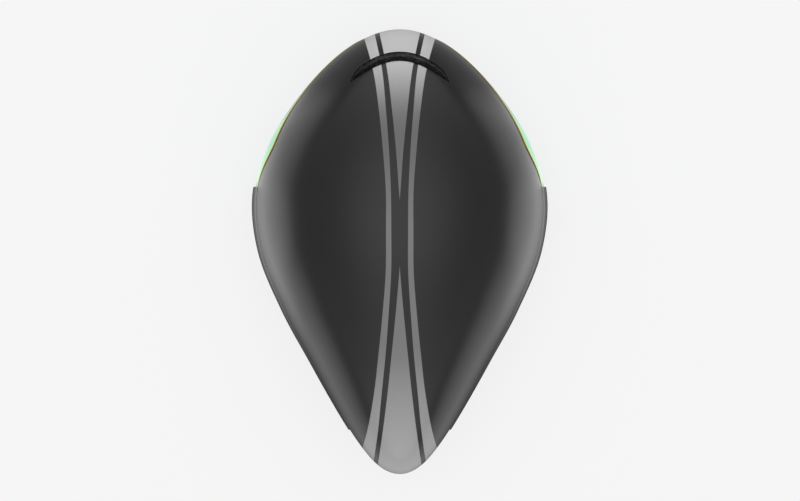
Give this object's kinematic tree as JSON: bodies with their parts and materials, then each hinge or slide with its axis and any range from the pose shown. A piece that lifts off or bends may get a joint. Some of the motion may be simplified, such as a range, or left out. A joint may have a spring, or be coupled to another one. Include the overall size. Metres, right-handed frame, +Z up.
{
  "type": "road bike helmet",
  "caption": "Aerodynamic road bike helmet with a front crescent intake, side covers, wrap-round visor, dial-tightened cradle and chin strap with a magnetic buckle.",
  "frame": {"origin": "on the table, below the middle of the shell, where the helmet stands on its side covers", "axes": "+Z up, the wearer's face looks towards -Y, +X is the wearer's left"},
  "size_m": [0.2078, 0.311, 0.1788],
  "materials": {
    "shell_graphite": "matt graphite paint on polycarbonate",
    "foam_black": "black bead foam",
    "cover_black": "satin black moulded cover",
    "lens_tint": "mirror-coated polycarbonate lens",
    "plastic_black": "black nylon, fine grain",
    "acetal_white": "natural acetal",
    "webbing_black": "woven polyester webbing",
    "pad_fabric": "brushed knit over foam",
    "ear_foam": "flocked soft foam",
    "patch_nylon": "hook-and-loop nylon",
    "rubber_black": "soft rubber",
    "magnet_nickel": "nickel plate",
    "plate_steel": "thin steel plate"
  },
  "bodies": {
    "helmet": {"outer_shell": "shell_graphite", "foam_liner": "foam_black", "side_cover_left": "cover_black", "side_cover_right": "cover_black", "ear_foam_left": "ear_foam", "ear_foam_right": "ear_foam", "tail_panel": "cover_black", "shell_magnets": "magnet_nickel", "brow_pad": "pad_fabric", "crown_pad_left": "pad_fabric", "crown_pad_right": "pad_fabric", "side_pad_left": "pad_fabric", "side_pad_right": "pad_fabric", "pad_patches": "patch_nylon", "temple_bushes": "plastic_black", "height_guide": "plastic_black", "strap_anchors": "plastic_black", "front_strap_left": "webbing_black", "front_strap_right": "webbing_black", "rear_strap_left": "webbing_black", "rear_strap_right": "webbing_black", "divider_left": "plastic_black", "divider_right": "plastic_black"},
    "visor": {"visor_lens": "lens_tint", "visor_plates": "plate_steel"},
    "cradle": {"cradle_base": "plastic_black", "cradle_cover": "plastic_black", "nape_pad_left": "pad_fabric", "nape_pad_right": "pad_fabric"},
    "left_band": {"band_left": "plastic_black"},
    "right_band": {"band_right": "plastic_black"},
    "dial": {"dial_knob": "rubber_black", "dial_pinion": "acetal_white"},
    "chin_loop": {"chin_lug_left": "plastic_black", "chin_lug_right": "plastic_black", "chin_strap_left": "webbing_black", "chin_strap_right": "webbing_black", "buckle_socket": "plastic_black", "socket_magnet": "magnet_nickel", "chin_pad": "pad_fabric", "strap_keeper": "rubber_black"},
    "tongue": {"buckle_tongue": "plastic_black", "tongue_magnet": "magnet_nickel"}
  },
  "joints": [
    {"name": "visor_pull", "type": "slide", "parent": "helmet", "child": "visor", "axis": [0, -1, 0], "range_m": [0, 0.13]},
    {"name": "cradle_height", "type": "hinge", "parent": "helmet", "child": "cradle", "pos_m": [0, -0.05, 0.072], "axis": [1, 0, 0], "range_deg": [-5, 3.5]},
    {"name": "dial_turn", "type": "hinge", "parent": "cradle", "child": "dial", "pos_m": [0, 0.0676, 0.036], "axis": [0, -1, 0], "range_deg": [0, 75]},
    {"name": "left_band_draw", "type": "slide", "parent": "cradle", "child": "left_band", "axis": [-1, 0, 0], "range_m": [0, 0.0064]},
    {"name": "right_band_draw", "type": "slide", "parent": "cradle", "child": "right_band", "axis": [1, 0, 0], "range_m": [0, 0.0064]},
    {"name": "chin_loop_swing", "type": "hinge", "parent": "helmet", "child": "chin_loop", "pos_m": [0, -0.02, 0.0085], "axis": [1, 0, 0], "range_deg": [0, 80]},
    {"name": "buckle_release", "type": "slide", "parent": "chin_loop", "child": "tongue", "axis": [0, 0, 1], "range_m": [0, 0.022], "deforming": ["chin_strap_right"]}
  ],
  "couplings": [
    {"joint": "left_band_draw", "follows": "dial_turn", "m_per_rad": 0.0048},
    {"joint": "right_band_draw", "follows": "dial_turn", "m_per_rad": 0.0048}
  ]
}
